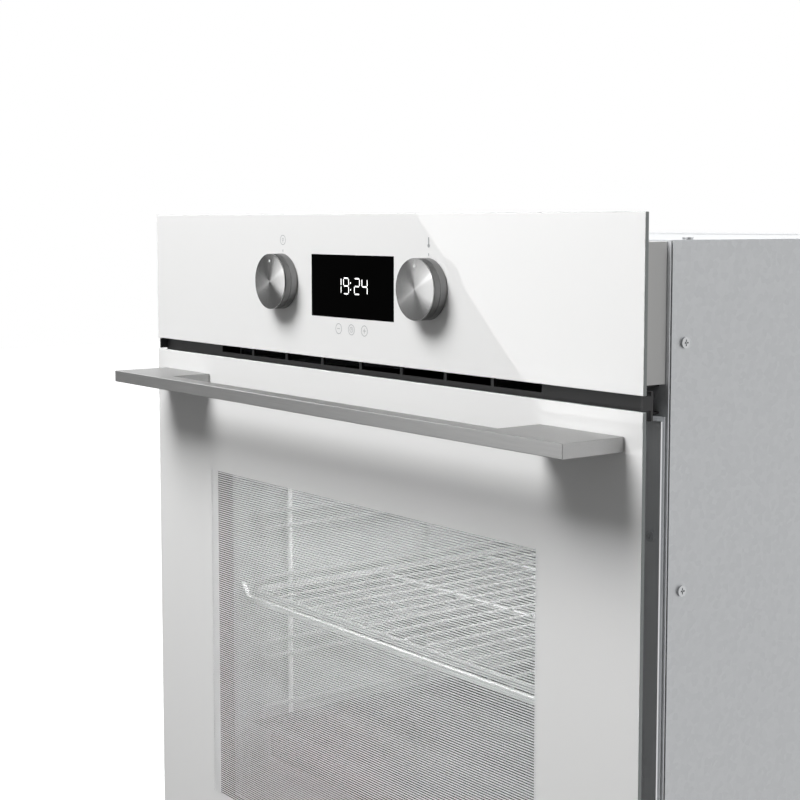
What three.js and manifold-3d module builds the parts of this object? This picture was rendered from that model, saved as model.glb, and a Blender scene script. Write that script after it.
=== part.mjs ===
// A 60 cm built-in electric oven: glass control panel, drop-down glass door, enamelled cavity,
// fan heating and a zinc-coated casing. Millimetres, +Z up. The front faces -Y.
// The origin is the centre of the footprint, level with the underside of the base pan.
import * as THREE from 'three';
import { mergeVertices } from 'three/addons/utils/BufferGeometryUtils.js';
import Module from 'manifold-3d';

const wasm = await Module();
wasm.setup();

// Driving dimensions
const frontWidth = 595;
const frontHeight = 595;
const frontPlane = -255; // outer faces of the two glass fronts
const backPlane = 305; // outer face of the back panel
const cabinetPlane = -233; // front edge of the kitchen cabinet
const framePlane = -213; // sheet that closes the casing at the front
const casingHalf = 278; // half the casing's width
const casingTop = 578;
const glass = 3; // thickness of the front glasses
const sheet = 0.8; // thickness of folded steel sheet
const touch = 0.3; // gap between pieces that touch
const panelHeight = 108;
const panelGap = 9.5; // air gap between the panel and the door
const doorBottom = 8;
const knobRadius = 21.4;
const knobX = 92.3;
const knobDrop = 52; // from the top edge down to the knob axes
const knobReach = 12.4;
const displaySize = [104.7, 46.5];
const displayDrop = 30.3;
const handleLength = 565;
const handleThickness = 9.4;
const handleDrop = 133.3;
const handleReach = 50;
const handleBar = 15; // depth of the grip bar
const handleFoot = 75;
const slotCount = 8;
const slotPitch = 50.3;
const slotLength = 47.3;
const cavity = { half: 235, bottom: 85, top: 435, back: 215 };
const hinge = { y: -238, z: 30, armX: 242 };
const fan = { z: 255, radius: 72 };
const levelPitch = 58;
const levelCount = 5;
const shelfRail = 261.7; // height of the rail that carries the wire shelf
const lamp = { x: -194, y: 120 };
const carrier = { rimHalf: 292, half: 275, wall: 2 };
const vent = { half: 296, channel: 270, front: -247, bottom: 471.5, top: 489.2, wall: 1 };
const middlePane = { half: 232, front: -238, back: -234, bottom: 58, top: 452 };
const innerPane = { half: 262, front: -221, back: -217, bottom: 42, top: 468 };
const profile = { inner: 250, outer: 265, bottom: 41, top: 469, wall: 1.5 };
const clip = { inner: 205, outer: 262, bottom: 455, wall: 1.5 };
const trim = { inner: 268, outer: 292, bottom: 44, top: 470, screwX: 285 };
const seal = { half: 247, mouth: 240, bottom: 73, mouthBottom: 80 };
const fanCover = { half: 205, front: 186, bottom: 95, top: 408 };
const element = { radius: 3.25, ring: 96 };
const tray = { half: 226, basinHalf: 213, front: -200, back: 160, depth: 30, rim: 1.2 };
const wool = { half: 268, front: -209, back: 255, bottom: 56, top: 464 };
const duct = { half: 224.6, bottom: 472, top: 489, wall: 1 };
const terminal = { x: [190, 250], z: [500, 550], gland: [204, 512], front: 270 };
const innerHalf = 276.3; // half the width between the side sheets
const blower = { y: 150, z: 522, radius: 29, half: 105, blades: 10 };

// Heights and planes that follow from them
const panelBottom = frontHeight - panelHeight;
const doorTop = panelBottom - panelGap;
const glassBack = frontPlane + glass;
const knobZ = frontHeight - knobDrop;
const displayTop = frontHeight - displayDrop;
const half = frontWidth / 2;

// Materials
const paint = (color, roughness, metalness) =>
  new THREE.MeshStandardMaterial({ color, roughness, metalness });
const whiteGlass = paint(0xf1f1f1, 0.06, 0);
const clearGlass = paint(0xb9c4c4, 0.04, 0);
const brushedSteel = paint(0xa3a3a1, 0.36, 1);
const whitePlastic = paint(0xe6e6e4, 0.45, 0);
const blackPlastic = paint(0x1b1b1d, 0.5, 0);
const greyPlastic = paint(0x35363a, 0.55, 0);
const boardGreen = paint(0x1f5a3a, 0.5, 0);
const zincSteel = paint(0xb4b8ba, 0.42, 0.9);
const aluminium = paint(0xc9cbcc, 0.35, 1);
const greyEnamel = paint(0x6f7276, 0.3, 0.1);
const blackEnamel = paint(0x222327, 0.25, 0.1);
const chromeWire = paint(0xd8dadc, 0.12, 1);
const heaterSteel = paint(0x4c4a48, 0.5, 0.8);
const silicone = paint(0x3b3b3b, 0.75, 0);
const mineralWool = paint(0xcfc39a, 0.95, 0);
const lampGlass = paint(0xe9efe9, 0.08, 0);

// Solids
function toSolid(geometry) {
  const bare = geometry.index ? geometry.toNonIndexed() : geometry.clone();
  for (const name of Object.keys(bare.attributes)) {
    if (name !== 'position') bare.deleteAttribute(name);
  }
  const merged = mergeVertices(bare, 1e-4);
  return new wasm.Manifold(new wasm.Mesh({
    numProp: 3,
    vertProperties: new Float32Array(merged.attributes.position.array),
    triVerts: new Uint32Array(merged.index.array),
  }));
}

function toGeometry(solid) {
  const mesh = solid.getMesh();
  const geometry = new THREE.BufferGeometry();
  geometry.setAttribute('position', new THREE.BufferAttribute(new Float32Array(mesh.vertProperties), 3));
  geometry.setIndex(new THREE.BufferAttribute(new Uint32Array(mesh.triVerts), 1));
  return geometry;
}

// A block between two values on each axis, in either order
function block(xs, ys, zs) {
  const sizes = [xs, ys, zs].map(([a, b]) => Math.abs(b - a));
  const middles = [xs, ys, zs].map(([a, b]) => (a + b) / 2);
  return toSolid(new THREE.BoxGeometry(...sizes).translate(...middles));
}

// A round bar along X, Y or Z, from one value to another, centred on the two other coordinates
function bar(axis, [from, to], [u, v], radius, sides = 16) {
  const geometry = new THREE.CylinderGeometry(radius, radius, Math.abs(to - from), sides);
  const middle = (from + to) / 2;
  if (axis === 'x') geometry.rotateZ(Math.PI / 2).translate(middle, u, v);
  if (axis === 'y') geometry.translate(u, middle, v);
  if (axis === 'z') geometry.rotateX(Math.PI / 2).translate(u, v, middle);
  return toSolid(geometry);
}

const join = (...solids) => wasm.Manifold.union(solids);
const cut = (solid, ...tools) => solid.subtract(wasm.Manifold.union(tools));
const both = (make) => [make(-1), make(1)];
const range = (count) => Array.from({ length: count }, (_, index) => index);

function roundedRectangle(x0, x1, z0, z1, radius) {
  const shape = new THREE.Shape();
  shape.absarc(x1 - radius, z1 - radius, radius, 0, Math.PI / 2);
  shape.absarc(x0 + radius, z1 - radius, radius, Math.PI / 2, Math.PI);
  shape.absarc(x0 + radius, z0 + radius, radius, Math.PI, Math.PI * 1.5);
  shape.absarc(x1 - radius, z0 + radius, radius, Math.PI * 1.5, Math.PI * 2);
  return shape;
}

// A rounded outline in the XZ plane, drawn out from one Y to another
function roundedBlock([x0, x1], [y0, y1], [z0, z1], radius, steps = 4) {
  const shape = roundedRectangle(x0, x1, z0, z1, radius);
  const depth = y1 - y0;
  const geometry = new THREE.ExtrudeGeometry(shape, { depth, bevelEnabled: false, curveSegments: steps });
  return toSolid(geometry.rotateX(Math.PI / 2).translate(0, y1, 0));
}

// A heating element: straight legs along Y, joined by half-round bends at the front and the rear in turn
function heatingElement(legX, frontY, rearY, endY, z, radius) {
  const outline = new THREE.Shape();
  outline.absarc(0, 0, radius, 0, Math.PI * 2);
  const last = legX.length - 1;
  const legs = legX.map((x, index) => {
    const isEnd = index === 0 || index === last;
    return bar('y', [frontY - 0.5, (isEnd ? endY : rearY) + 0.5], [x, z], radius, 8);
  });
  const bends = range(last).map((index) => {
    const atFront = index % 2 === 0;
    const y = atFront ? frontY : rearY;
    const reach = (legX[index + 1] - legX[index]) * (atFront ? -2 / 3 : 2 / 3);
    const [from, to] = [legX[index], legX[index + 1]];
    const curve = new THREE.CubicBezierCurve3(
      new THREE.Vector3(from, y, z),
      new THREE.Vector3(from, y + reach, z),
      new THREE.Vector3(to, y + reach, z),
      new THREE.Vector3(to, y, z),
    );
    return toSolid(new THREE.ExtrudeGeometry(outline, {
      steps: 8, bevelEnabled: false, extrudePath: curve, curveSegments: 3,
    }));
  });
  return join(...legs, ...bends);
}

const oven = new THREE.Group();

function add(name, solid, material) {
  const mesh = new THREE.Mesh(toGeometry(solid), material);
  mesh.name = name;
  oven.add(mesh);
}

// Control panel: the glass, the tray it is glued to, and what sits between them
function addControlPanel() {
  const shaftHoles = both((side) => bar('y', [frontPlane - 1, glassBack + 1], [side * knobX, knobZ], 6));
  const front = block([-half, half], [frontPlane, glassBack], [panelBottom, frontHeight]);
  add('control_glass', cut(front, ...shaftHoles), whiteGlass);

  const rimFront = glassBack + touch;
  const trayTop = casingTop - 1;
  const trayBottom = panelBottom + 3;
  const { rimHalf, half: trayHalf, wall } = carrier;
  const rim = block([-rimHalf, rimHalf], [rimFront, rimFront + wall], [trayBottom - 0.5, frontHeight - 3]);
  const box = block([-trayHalf, trayHalf], [rimFront + 1, framePlane - 0.4], [trayBottom, trayTop]);
  const hollow = block([wall - trayHalf, trayHalf - wall], [rimFront - 1, framePlane - 0.4 - wall],
    [trayBottom + wall, trayTop - wall]);
  const wiring = block([-240, 240], [framePlane - 3, framePlane], [500, 568]);
  add('fascia_carrier', cut(join(rim, box), hollow, wiring), whitePlastic);

  const [displayWidth, displayHeight] = displaySize;
  const displayBottom = displayTop - displayHeight;
  add('display_module', block([-displayWidth / 2, displayWidth / 2], [rimFront, -239.4],
    [displayBottom, displayTop]), blackPlastic);
  add('touch_board', block([-30, 30], [rimFront, rimFront + 2.6], [502, 516.5]), greyPlastic);

  const boardHoles = both((side) => bar('y', [-241, -235], [side * knobX, knobZ], 5));
  add('control_board', cut(block([-135, 135], [-239, -237.4], [500, 572]), ...boardHoles), boardGreen);
}

// A rotary switch: a square body with its terminals at the back
function addSwitch(name, side, depth) {
  const body = block([side * knobX - 19, side * knobX + 19], [-237, -237 + depth], [knobZ - 19, knobZ + 19]);
  const terminals = range(4).map((index) => {
    const x = side * knobX - 14 + index * 9.3;
    return block([x - 3, x + 3], [-238 + depth, -231 + depth], [knobZ - 4, knobZ + 4]);
  });
  add(name, join(body, ...terminals), blackPlastic);
}

// A knob in three pieces: a turned cap, the knurled ring behind it, and the shaft
function addKnob(name, side) {
  const turned = (outline) => {
    const points = outline.map(([radius, y]) => new THREE.Vector2(radius, y));
    const lathe = new THREE.LatheGeometry([...points, points[0].clone()], 32);
    return toSolid(lathe).translate([side * knobX, 0, knobZ]);
  };
  const faceY = frontPlane - knobReach;
  const cap = turned([[0.001, faceY + 3.6], [0.001, faceY], [knobRadius - 0.3, faceY],
    [knobRadius, faceY + 0.3], [knobRadius, faceY + 0.9], [knobRadius - 1, faceY + 0.9],
    [knobRadius - 1, faceY + 1.4], [7.5, faceY + 1.4], [7.5, faceY + 3.6]]);
  const ring = turned([[8, faceY + 1.7], [knobRadius, faceY + 1.7], [knobRadius, frontPlane - 0.8],
    [knobRadius - 0.6, frontPlane - touch], [8, frontPlane - touch]]);
  add(`${name}_cap`, cap, brushedSteel);
  add(`${name}_ring`, ring, brushedSteel);
  add(`${name}_shaft`, bar('y', [faceY + 3.9, -237.3], [side * knobX, knobZ], 3), zincSteel);
}

// Air outlet strip in the gap between the panel and the door
function addVent() {
  const { half: reach, channel, front, bottom, top, wall } = vent;
  const rear = framePlane - 0.4;
  const plate = block([-reach, reach], [front, front + 1.8], [bottom, top]);
  const ends = both((side) => block([side * (reach - 1.5), side * reach], [front - 7, front + 1],
    [doorTop + 0.5, panelBottom - 0.5]));
  const roof = block([-channel, channel], [front + 1, rear], [top - wall, top]);
  const floor = block([-channel, channel], [front + 1, rear], [bottom, bottom + wall]);
  const firstSlot = -slotPitch * slotCount / 2;
  const slots = range(slotCount).map((index) => {
    const x = firstSlot + (index + 0.5) * slotPitch;
    return block([x - slotLength / 2, x + slotLength / 2], [front - 1, front + 3], [bottom + 9, top - 1.2]);
  });
  add('vent_grille', cut(join(plate, roof, floor, ...ends), ...slots), greyPlastic);
}

// The plate handle: a grip bar and two feet in one flat piece
function addHandle() {
  const top = frontHeight - handleDrop;
  const tip = frontPlane - handleReach;
  const end = handleLength / 2;
  const outline = new THREE.Shape();
  outline.moveTo(-end, tip);
  outline.lineTo(end, tip);
  outline.lineTo(end, frontPlane - touch);
  outline.lineTo(end - handleFoot, frontPlane - touch);
  outline.lineTo(end - handleFoot, tip + handleBar);
  outline.lineTo(handleFoot - end, tip + handleBar);
  outline.lineTo(handleFoot - end, frontPlane - touch);
  outline.lineTo(-end, frontPlane - touch);
  const plate = new THREE.ExtrudeGeometry(outline, { depth: handleThickness, bevelEnabled: false });
  add('door_handle', toSolid(plate).translate([0, 0, top - handleThickness]), brushedSteel);
}

// The door: three panes held by two side profiles and two rails
function addDoor() {
  const profileFront = glassBack + touch;
  const profileBack = -221.4;
  add('door_outer_glass', block([-half, half], [frontPlane, glassBack], [doorBottom, doorTop]), whiteGlass);
  for (const [name, pane] of [['door_middle_glass', middlePane], ['door_inner_glass', innerPane]]) {
    add(name, block([-pane.half, pane.half], [pane.front, pane.back], [pane.bottom, pane.top]), clearGlass);
  }

  const { inner, outer, bottom, top, wall } = profile;
  for (const [name, side] of [['left', -1], ['right', 1]]) {
    const beam = block([side * inner, side * outer], [profileFront, profileBack], [bottom, top]);
    const channel = block([side * (inner - 1), side * (outer - wall)],
      [profileFront + wall, profileBack - wall], [bottom - 1, top + 1]);
    add(`door_side_profile_${name}`, cut(beam, channel), aluminium);
    const clipBack = innerPane.back + touch + clip.wall;
    const across = [side * clip.inner, side * clip.outer];
    const cover = block(across, [innerPane.front, clipBack], [innerPane.top + touch, innerPane.top + 1.8]);
    const lip = block(across, [clipBack - clip.wall, clipBack], [clip.bottom, innerPane.top + 1]);
    add(`glass_clip_${name}`, join(cover, lip), blackPlastic);
  }

  const topHalf = inner - 1.5;
  const topRail = block([-topHalf, topHalf], [profileFront, profileBack], [middlePane.top + 1.5, top]);
  const topChannel = block([-inner, inner], [profileFront + wall, profileBack - wall],
    [middlePane.top + 1, top - wall]);
  add('door_top_rail', cut(topRail, topChannel), aluminium);
  const lowHalf = hinge.armX - 8;
  const bottomRail = block([-lowHalf, lowHalf], [profileFront, profileBack],
    [bottom, middlePane.bottom - 2]);
  const bottomChannel = block([-inner, inner], [profileFront + wall, profileBack - wall],
    [bottom + wall, middlePane.bottom]);
  add('door_bottom_rail', cut(bottomRail, bottomChannel), aluminium);
}

// One hinge: an arm fixed in the casing's receiver, and a cassette in the door that turns on a pin
function addHinge(name, side) {
  const x = side * hinge.armX;
  const holeRadius = 4.3;
  const cheek = (inner, outer, ys, zs) => block([x + side * inner, x + side * outer], ys, zs);
  const nose = bar('x', [x - 2.5, x + 2.5], [hinge.y, hinge.z], 8, 20);
  const blade = block([x - 2.5, x + 2.5], [hinge.y, -170], [hinge.z - 8, hinge.z + 8]);
  const bore = bar('x', [x - 9, x + 9], [hinge.y, hinge.z], holeRadius, 20);
  add(`hinge_arm_${name}`, cut(join(nose, blade), bore), zincSteel);
  add(`hinge_pin_${name}`, bar('x', [x - 7, x + 7], [hinge.y, hinge.z], 4, 20), zincSteel);

  const cassette = join(
    cheek(-6, -4, [-246, -226], [hinge.z - 6, 180]),
    cheek(4, 6, [-246, -226], [hinge.z - 6, 180]),
    cheek(-5, 5, [-246, -244.5], [hinge.z + 20, 180]),
  );
  add(`hinge_cassette_${name}`, cut(cassette, bore), zincSteel);

  const receiver = join(
    cheek(-6, -4, [framePlane + 1.6, -150], [18, 44]),
    cheek(4, 6, [framePlane + 1.6, -150], [18, 44]),
    cheek(-5, 5, [framePlane + 1.6, -150], [18, 20]),
  );
  add(`hinge_receiver_${name}`, receiver, zincSteel);
}

// The front sheet with its openings, and the strips that are screwed to the cabinet
function addFrontFrame() {
  const back = framePlane + sheet;
  const hole = (xs, zs) => block(xs, [framePlane - 1, back + 1], zs);
  const hingeSlots = both((side) => hole([side * (hinge.armX - 3.7), side * (hinge.armX + 3.7)], [20, 40]));
  add('front_frame', cut(
    block([-277.5, 277.5], [framePlane, back], [0.5, casingTop - 0.5]),
    hole([-cavity.half, cavity.half], [cavity.bottom, cavity.top]),
    hole([-224, 224], [473, 488]),
    hole([-250, 250], [495, 570]),
    ...hingeSlots,
  ), zincSteel);

  for (const [name, side] of [['left', -1], ['right', 1]]) {
    const rows = [trim.bottom, trim.top];
    const rear = framePlane - 0.4;
    const flange = block([side * trim.inner, side * trim.outer], [cabinetPlane - 1.2, cabinetPlane], rows);
    const leg = block([side * trim.inner, side * (trim.inner + 1.2)], [cabinetPlane - 1.2, rear], rows);
    const foot = block([side * trim.inner, side * (trim.inner + 8)], [rear - 1.2, rear], rows);
    const screwHoles = [120, 400].map((z) => bar('y', [-236, -230], [side * trim.screwX, z], 2.6, 12));
    add(`side_trim_${name}`, cut(join(flange, leg, foot), ...screwHoles), aluminium);
  }

  const sealTop = cavity.bottom + cavity.top - seal.bottom;
  const mouthTop = cavity.bottom + cavity.top - seal.mouthBottom;
  const lips = roundedBlock([-seal.half, seal.half], [-216.7, -213.3], [seal.bottom, sealTop], 16);
  const mouth = roundedBlock([-seal.mouth, seal.mouth], [-218, -212], [seal.mouthBottom, mouthTop], 10);
  add('door_gasket', cut(lips, mouth), silicone);
}

// The baking cavity with what is fixed in it
function addCavity() {
  const { half: reach, bottom, top, back } = cavity;
  const mouth = framePlane + 1.5;
  const shell = join(
    block([-reach - sheet, reach + sheet], [mouth, back + sheet], [bottom - sheet, top + sheet]),
    block([-250, 250], [mouth, mouth + sheet], [70, 450]),
  );
  const space = block([-reach, reach], [mouth - 1, back], [bottom, top]);
  const shaftHole = bar('y', [back - 1, back + 3], [0, fan.z], 7);
  const lampHole = bar('z', [top - 1, top + 3], [lamp.x, lamp.y], 17);
  add('cavity_liner', cut(shell, space, shaftHole, lampHole), greyEnamel);

  const { half: coverHalf, front: coverFront, bottom: coverBottom, top: coverTop } = fanCover;
  const box = block([-coverHalf, coverHalf], [coverFront, back - touch], [coverBottom, coverTop]);
  const boxSpace = block([sheet - coverHalf, coverHalf - sheet], [coverFront + sheet, back + 1],
    [coverBottom + sheet, coverTop - sheet]);
  const airHoles = range(2).flatMap((ring) => range(6 * (ring + 1)).map((index) => {
    const angle = index * Math.PI * 2 / (6 * (ring + 1));
    const radius = 26 * (ring + 1);
    const spot = [radius * Math.cos(angle), fan.z + radius * Math.sin(angle)];
    return bar('y', [coverFront - 1, coverFront + 3], spot, 7, 8);
  }));
  const sideSlots = range(6).flatMap((index) => both((side) => {
    const z = 130 + index * 50;
    return block([side * 150, side * 185], [coverFront - 1, coverFront + 3], [z - 3, z + 3]);
  }));
  add('fan_cover', cut(box, boxSpace, ...airHoles, ...sideSlots), greyEnamel);

  const ring = new THREE.TorusGeometry(element.ring, element.radius, 6, 32).rotateX(Math.PI / 2);
  add('ring_element', toSolid(ring).translate([0, 201, fan.z]), heaterSteel);

  const grillLegs = range(6).map((index) => (index - 2.5) * 64);
  const grill = heatingElement(grillLegs, -130, 90, back - 0.8, top - 14, element.radius);
  add('grill_element', grill, heaterSteel);
  const floorLegs = range(4).map((index) => (index - 1.5) * 100);
  const lower = heatingElement(floorLegs, -100, 100, 205, bottom - 9, element.radius);
  add('lower_element', lower, heaterSteel);
}

// The lamp: a socket above the roof of the cavity and a screwed glass cover below it
function addLamp() {
  const { top } = cavity;
  const dome = toSolid(new THREE.SphereGeometry(18, 16, 10).rotateX(Math.PI / 2).scale(1, 1, 0.8));
  const lowerHalf = cut(dome, block([-20, 20], [-20, 20], [0, 20]));
  const collar = bar('z', [-2, 0], [0, 0], 20, 20);
  add('lamp_lens', join(lowerHalf, collar).translate([lamp.x, lamp.y, top - touch]), lampGlass);
  const socket = join(
    bar('z', [top - touch + 0.6, top + 22], [lamp.x, lamp.y], 15, 20),
    bar('z', [top + 1.5, top + 4], [lamp.x, lamp.y], 21, 20),
  );
  add('lamp_holder', socket, whitePlastic);
}

// The fan that drives hot air through the cavity, with its motor outside the back wall
function addConvectionFan() {
  const disc = bar('y', [209.4, 210.2], [0, fan.z], fan.radius, 32);
  const hub = bar('y', [194, 210.2], [0, fan.z], 9, 16);
  const shaft = bar('y', [196, 226], [0, fan.z], 4, 16);
  const blades = range(10).map((index) => {
    const blade = block([34, fan.radius - 1], [193, 209.6], [-0.6, 0.6]).rotate([0, index * 36, 0]);
    return blade.translate([0, 0, fan.z]);
  });
  add('convection_fan', join(disc, hub, shaft, ...blades), aluminium);

  const can = bar('y', [217, 262], [0, fan.z], 31, 24);
  const foot = block([-42, 42], [217, 218.5], [fan.z - 12, fan.z + 12]);
  const bore = bar('y', [216, 228], [0, fan.z], 4.5, 16);
  add('fan_motor', cut(join(can, foot), bore), zincSteel);
}

// Wire rack that hangs on a side wall and carries the shelves
function addSideRack(name, side) {
  const railX = side * 225;
  const postX = side * 228.4;
  const levels = range(levelCount).map((index) => shelfRail + (index - 2) * levelPitch);
  const rails = levels.flatMap((z) => [z, z + 14].map((height) => (
    bar('y', [-190, 165], [railX, height], 2, 4))));
  const posts = [-162, 0, 140].map((y) => bar('z', [122, 420], [postX, y], 2.5, 6));
  add(`side_rack_${name}`, join(...rails, ...posts), chromeWire);
}

// Wire shelf with a flat front rail turned up at its ends
function addWireShelf() {
  const z = shelfRail + 2.3 + 3;
  const front = -199;
  const back = 160;
  const sideRods = both((side) => bar('y', [front, back], [side * 222, z], 3, 8));
  const crossRods = [-70, 50, back].map((y) => bar('x', [-222, 222], [y, z], 3, 8));
  const rods = range(17).flatMap((index) => {
    const x = (index - 8) * 25;
    return [bar('y', [front, back], [x, z + 3.6], 1.4, 4),
      bar('z', [z - 4, z + 3.6], [x, front + 1.4], 1.4, 4)];
  });
  const rail = block([-226, 226], [front - 6, front + 1], [z - 8.5, z - 2.5]);
  const stubs = both((side) => {
    const stub = block([-1.5, 1.5], [-5.5, 0], [0, 17]).rotate([0, side * 25, 0]);
    return stub.translate([side * 223.5, front, z - 8]);
  });
  add('wire_shelf', join(...sideRods, ...crossRods, ...rods, rail, ...stubs), chromeWire);
}

// Deep tray on the lowest level
function addBakingTray() {
  const rimZ = shelfRail - 2 * levelPitch + 2.3;
  const { half: reach, basinHalf, front, back, depth, rim: lip } = tray;
  const rim = block([-reach, reach], [front, back], [rimZ, rimZ + lip]);
  const basin = block([-basinHalf, basinHalf], [front + 12, back - 12], [rimZ - depth, rimZ + lip]);
  const space = block([lip - basinHalf, basinHalf - lip], [front + 12 + lip, back - 12 - lip],
    [rimZ - depth + lip, rimZ + 3]);
  add('baking_tray', cut(join(rim, basin), space), blackEnamel);
}

// Mineral wool around the cavity
function addInsulation() {
  const outer = block([-wool.half, wool.half], [wool.front, wool.back], [wool.bottom, wool.top]);
  const inner = block([-238, 238], [wool.front - 1, 218.8], [68, 437.5]);
  const motorHole = bar('y', [210, 260], [0, fan.z], 45, 24);
  const lampHole = bar('z', [430, 470], [lamp.x, lamp.y], 24, 16);
  add('insulation_wrap', cut(outer, inner, motorHole, lampHole), mineralWool);
}

// Air duct above the cavity, from the blower to the vent strip
function addCoolingAir() {
  const wide = duct.half;
  const narrow = blower.half;
  const { bottom, top, wall } = duct;
  const front = framePlane + 1.6;
  const rear = blower.y - 52;
  const trapezoid = (inset, extra) => {
    const shape = new THREE.Shape();
    shape.moveTo(inset - wide, front - extra);
    shape.lineTo(wide - inset, front - extra);
    shape.lineTo(wide - inset, front + 60);
    shape.lineTo(narrow - inset, rear + extra);
    shape.lineTo(inset - narrow, rear + extra);
    shape.lineTo(inset - wide, front + 60);
    return shape;
  };
  const drawn = (shape, [low, high]) => toSolid(new THREE.ExtrudeGeometry(shape,
    { depth: high - low, bevelEnabled: false }).translate(0, 0, low));
  add('air_duct', cut(drawn(trapezoid(0, 0), [bottom, top]),
    drawn(trapezoid(wall, 1), [bottom + wall, top - wall])), zincSteel);

  const { y, z, radius, half: reach } = blower;
  const scroll = join(
    bar('x', [-reach, reach], [y, z], radius + 9, 32),
    block([-reach, reach], [rear + touch, y], [bottom, top + 3]),
    block([-reach, reach], [y - 10, y + 38], [bottom, z]),
  );
  const volute = join(
    bar('x', [sheet - reach, reach - sheet], [y, z], radius + 7, 32),
    block([sheet - reach, reach - sheet], [rear - 1, y], [bottom + 1.2, top + 1.8]),
    block([sheet - reach, reach - sheet], [y - 12, y + 30], [bottom + 1.2, z]),
  );
  const intake = block([sheet - reach, reach - sheet], [y - 20, y + 24], [z + 10, z + 45]);
  const axleHole = bar('x', [-reach - 1, reach + 1], [y, z], 5, 16);
  add('blower_housing', cut(scroll, volute, intake, axleHole), zincSteel);

  const discs = [-reach + 4, -1, reach - 6].map((x) => bar('x', [x, x + 2], [y, z], radius, 20));
  const blades = range(blower.blades).map((index) => {
    const blade = block([4.5 - reach, reach - 4.5], [radius - 7, radius - 0.6], [-0.5, 0.5]);
    return blade.rotate([index * 360 / blower.blades, 0, 0]).translate([0, y, z]);
  });
  const axle = bar('x', [-reach + 3, reach + 10], [y, z], 3, 12);
  add('blower_wheel', join(...discs, ...blades, axle), greyPlastic);

  const motorBody = join(
    bar('x', [reach + 1.5, reach + 46], [y, z], 24, 24),
    block([reach + 1, reach + 3], [y - 30, y + 30], [z - 34, z + 26]),
  );
  add('blower_motor', cut(motorBody, bar('x', [reach, reach + 12], [y, z], 3.8, 12)), zincSteel);
}

// Casing sheets
function addCasing() {
  const frontEdge = framePlane + 1.6;
  const rearEdge = backPlane - sheet - 0.4;
  const pan = block([-innerHalf, innerHalf], [frontEdge, rearEdge], [0, 16]);
  const panSpace = block([sheet - innerHalf, innerHalf - sheet],
    [frontEdge + sheet, rearEdge - sheet], [sheet, 17]);
  add('base_pan', cut(pan, panSpace), zincSteel);

  for (const [name, side] of [['left', -1], ['right', 1]]) {
    const wall = block([side * (casingHalf - sheet), side * casingHalf],
      [frontEdge, rearEdge], [0.5, casingTop - 0.5]);
    const fold = [side * 262, side * (casingHalf - sheet / 2)];
    const rearFlange = block(fold, [rearEdge - sheet, rearEdge], [18, 574]);
    const foldTop = casingTop - sheet - 0.5;
    const topFlange = block(fold, [frontEdge + 3, 300], [foldTop - sheet, foldTop]);
    const louvres = range(7).map((index) => {
      const y = 90 + index * 22;
      return block([side * 275, side * 280], [y, y + 6], [470, 540]);
    });
    add(`outer_side_${name}`, cut(join(wall, rearFlange, topFlange), ...louvres), zincSteel);
  }

  const lid = block([-innerHalf, innerHalf], [frontEdge, rearEdge], [casingTop - sheet, casingTop]);
  const lip = block([-248, 248], [frontEdge, frontEdge + sheet], [571.5, casingTop - 0.5]);
  const intake = range(9).map((index) => {
    const x = (index - 4) * 22;
    return block([x - 4, x + 4], [110, 190], [casingTop - 3, casingTop + 1]);
  });
  add('outer_top_cover', cut(join(lid, lip), ...intake), zincSteel);

  const [left, right] = terminal.x;
  const [low, high] = terminal.z;
  const terminalWindow = block([left - 0.6, right + 0.6], [300, 306], [low - 0.6, high + 0.6]);
  const backSlots = range(10).flatMap((index) => both((side) => {
    const z = 200 + index * 14;
    return block([side * 70, side * 150], [300, 306], [z, z + 5]);
  }));
  const panel = block([-innerHalf, innerHalf], [backPlane - sheet, backPlane], [0.5, casingTop - 0.5]);
  add('outer_back_panel', cut(panel, terminalWindow, ...backSlots), zincSteel);

  const box = block(terminal.x, [terminal.front, backPlane - 0.2], terminal.z);
  const glandHole = bar('y', [300, 306], terminal.gland, 6, 16);
  const cordPath = bar('y', [285, 301], terminal.gland, 5, 16);
  add('terminal_box', cut(box, glandHole, cordPath), blackPlastic);
}

addControlPanel();
addSwitch('function_switch', -1, 30);
addSwitch('thermostat', 1, 24);
addKnob('function_knob', -1);
addKnob('temperature_knob', 1);
addVent();
addHandle();
addDoor();
addHinge('left', -1);
addHinge('right', 1);
addFrontFrame();
addCavity();
addLamp();
addConvectionFan();
addSideRack('left', -1);
addSideRack('right', 1);
addWireShelf();
addBakingTray();
addInsulation();
addCoolingAir();
addCasing();

export default oven;
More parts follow.
